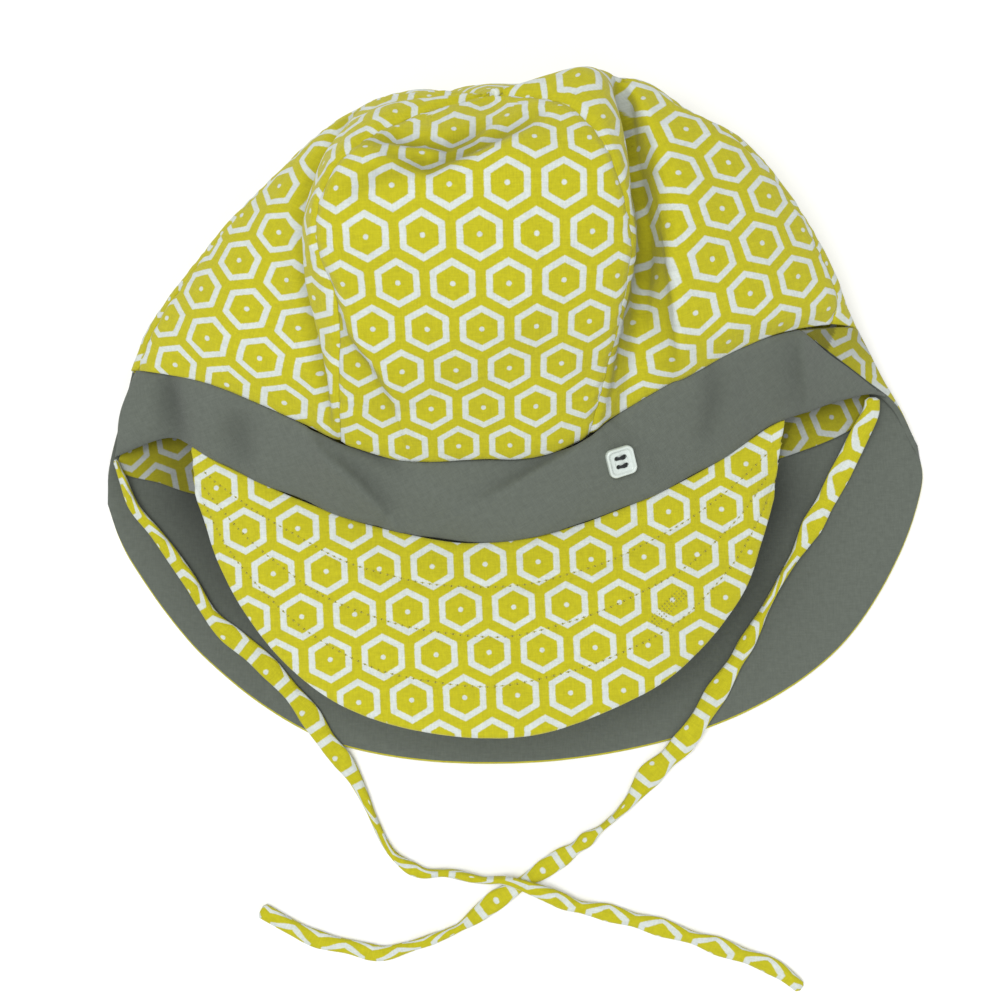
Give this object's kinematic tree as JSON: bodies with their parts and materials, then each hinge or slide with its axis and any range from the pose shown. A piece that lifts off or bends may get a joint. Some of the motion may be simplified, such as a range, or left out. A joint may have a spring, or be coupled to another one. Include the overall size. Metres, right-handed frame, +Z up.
{
  "type": "baby sun hat with visor, neck flap and ties",
  "caption": "Soft woven-cotton baby sun hat lying flat: puffed panelled crown, plain front band with a square button, quilted visor, neck flap and loose ties.",
  "frame": {"origin": "on the surface that the hat lies on, under the middle of the hat's own box, which leaves the ties out", "axes": "+Z up from the surface to the hat's front, +Y towards the top of the crown, +X to the right seen from above"},
  "size_m": [0.2634, 0.2855, 0.0803],
  "materials": {
    "printed_cotton": "matt woven cotton, white hexagon rings and dots printed on yellow",
    "grey_cotton": "matt woven cotton, plain grey",
    "button_plastic": "smooth, slightly glossy"
  },
  "bodies": {
    "root": {"crown_front_panel": "printed_cotton", "crown_front_left_panel": "printed_cotton", "crown_front_right_panel": "printed_cotton", "crown_back_left_panel": "printed_cotton", "crown_back_panel": "printed_cotton", "crown_back_right_panel": "printed_cotton", "front_band": "grey_cotton", "visor": "printed_cotton", "neck_flap": "grey_cotton", "lining_end": "printed_cotton", "tie_left": "printed_cotton", "tie_right": "printed_cotton", "button": "button_plastic"}
  },
  "joints": []
}
